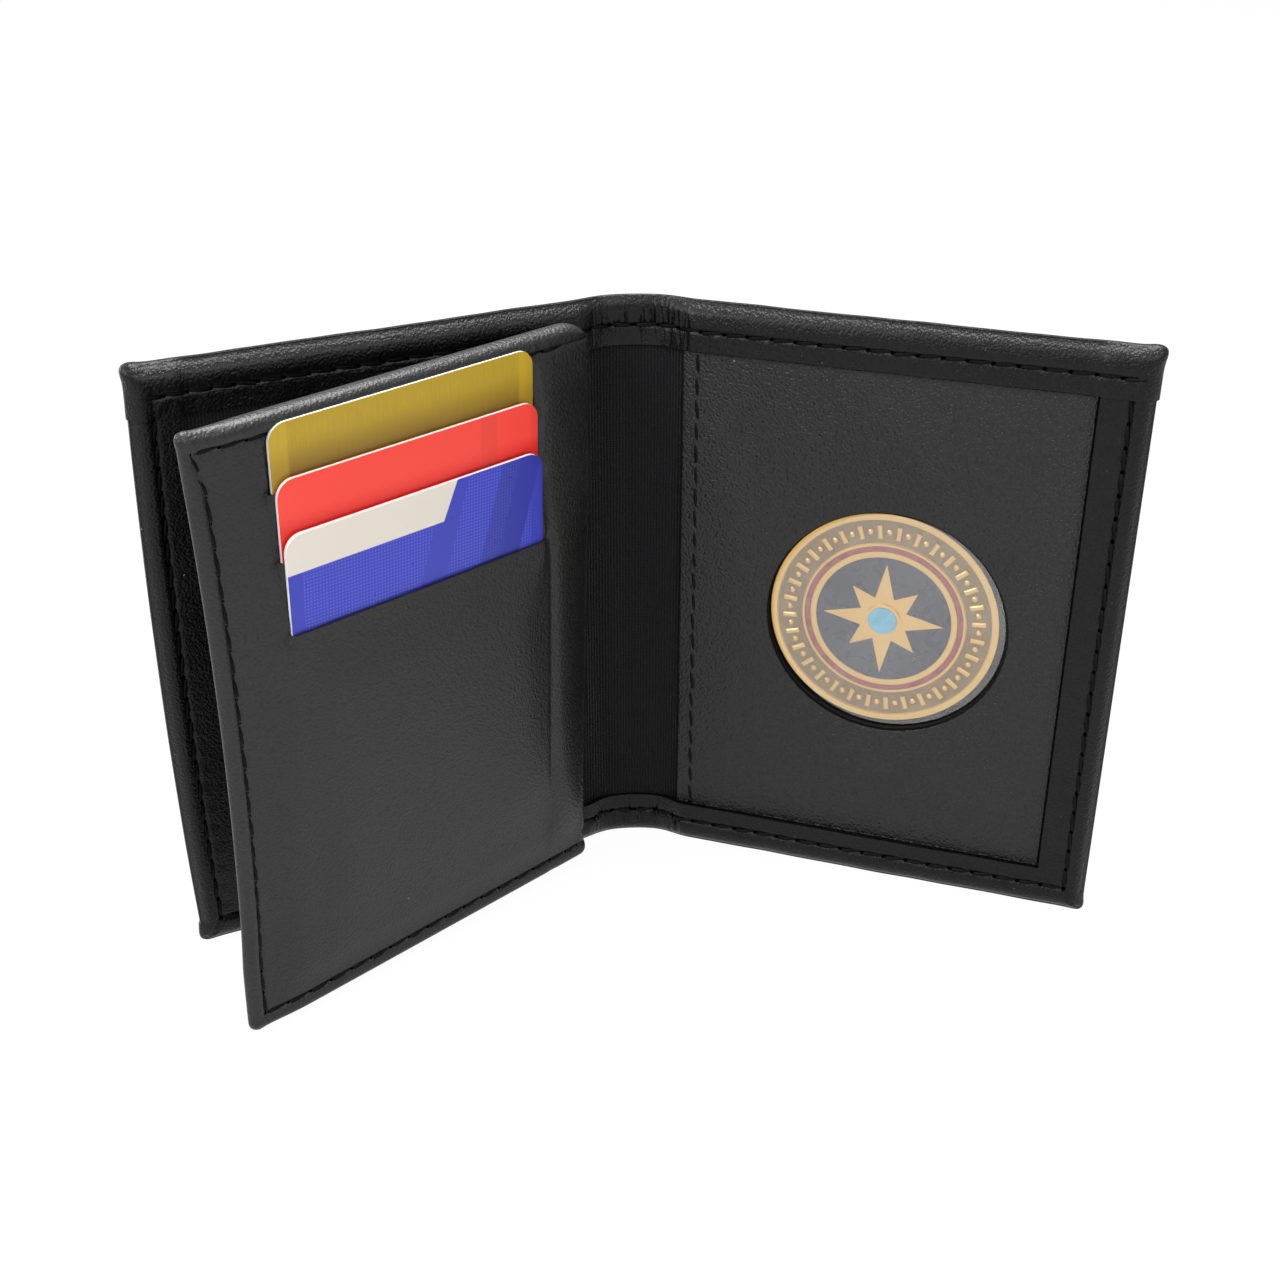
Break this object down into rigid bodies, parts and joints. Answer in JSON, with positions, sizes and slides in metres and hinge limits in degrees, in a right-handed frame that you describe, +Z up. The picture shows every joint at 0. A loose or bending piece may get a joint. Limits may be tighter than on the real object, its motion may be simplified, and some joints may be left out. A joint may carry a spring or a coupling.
{
  "type": "id badge wallet",
  "caption": "Black leather bifold badge wallet standing open, with a recessed round medallion, a turning leaf of slit card pockets and bank cards.",
  "frame": {"origin": "under the middle of the spine, at mid thickness, on the plane that the lower edges stand on", "axes": "+X along the spine's chord towards the badge cover, +Y out of the spine's back, +Z up along the folds"},
  "size_m": [0.1759, 0.0641, 0.1174],
  "materials": {
    "black_leather": "fine pebble grain, satin",
    "black_fabric": "fine ribbed weave",
    "board": "grey-brown stiffening board",
    "thread": "bonded black thread",
    "antique_brass": "aged, satin",
    "navy_enamel": "enamel",
    "red_enamel": "enamel",
    "sky_enamel": "enamel",
    "clear_cover": "clear, slightly hazed",
    "gold_plastic": "metallic print, laminated",
    "red_plastic": "laminated",
    "blue_plastic": "laminated"
  },
  "bodies": {
    "spine": {"spine_leather": "black_leather", "spine_lining": "black_fabric", "spine_seams": "thread"},
    "left_cover": {"left_cover_leather": "black_leather", "left_cover_board": "board", "left_cover_lining": "black_fabric", "left_cover_seam": "thread", "leaf_hinge_strip": "black_leather"},
    "right_cover": {"right_cover_leather": "black_leather", "right_cover_board": "board", "badge_panel": "black_leather", "right_cover_seam": "thread", "badge_panel_seam": "thread", "medallion": "antique_brass", "enamel_field": "navy_enamel", "enamel_ring": "red_enamel", "enamel_boss": "sky_enamel", "medallion_lens": "clear_cover"},
    "leaf": {"leaf_front_leather": "black_leather", "upper_pocket_lining": "black_fabric", "middle_pocket_lining": "black_fabric", "lower_pocket_lining": "black_fabric", "leaf_inner_board": "board", "leaf_outer_board": "board", "leaf_back_panel": "black_leather", "leaf_seam": "thread"},
    "gold_card": {"gold_card": "gold_plastic"},
    "red_card": {"red_card": "red_plastic"},
    "blue_card": {"blue_card": "blue_plastic"}
  },
  "joints": [
    {"name": "left_fold", "type": "hinge", "parent": "spine", "child": "left_cover", "pos_m": [-0.01, -0.0023, 0.0587], "axis": [0, 0, 1], "range_deg": [-23, 67]},
    {"name": "right_fold", "type": "hinge", "parent": "spine", "child": "right_cover", "pos_m": [0.01, -0.0023, 0.0587], "axis": [0, 0, -1], "range_deg": [-20.5, 69.5]},
    {"name": "leaf_turn", "type": "hinge", "parent": "left_cover", "child": "leaf", "pos_m": [-0.01109, -0.00966, 0.0587], "axis": [0, 0, -1], "range_deg": [-118, 17.7]},
    {"name": "gold_card_pull", "type": "slide", "parent": "leaf", "child": "gold_card", "axis": [0.0205, -0.0238, 0.9995], "range_m": [0, 0.075]},
    {"name": "red_card_pull", "type": "slide", "parent": "leaf", "child": "red_card", "axis": [0.0205, -0.0238, 0.9995], "range_m": [0, 0.075]},
    {"name": "blue_card_pull", "type": "slide", "parent": "leaf", "child": "blue_card", "axis": [0.0205, -0.0238, 0.9995], "range_m": [0, 0.075]}
  ]
}
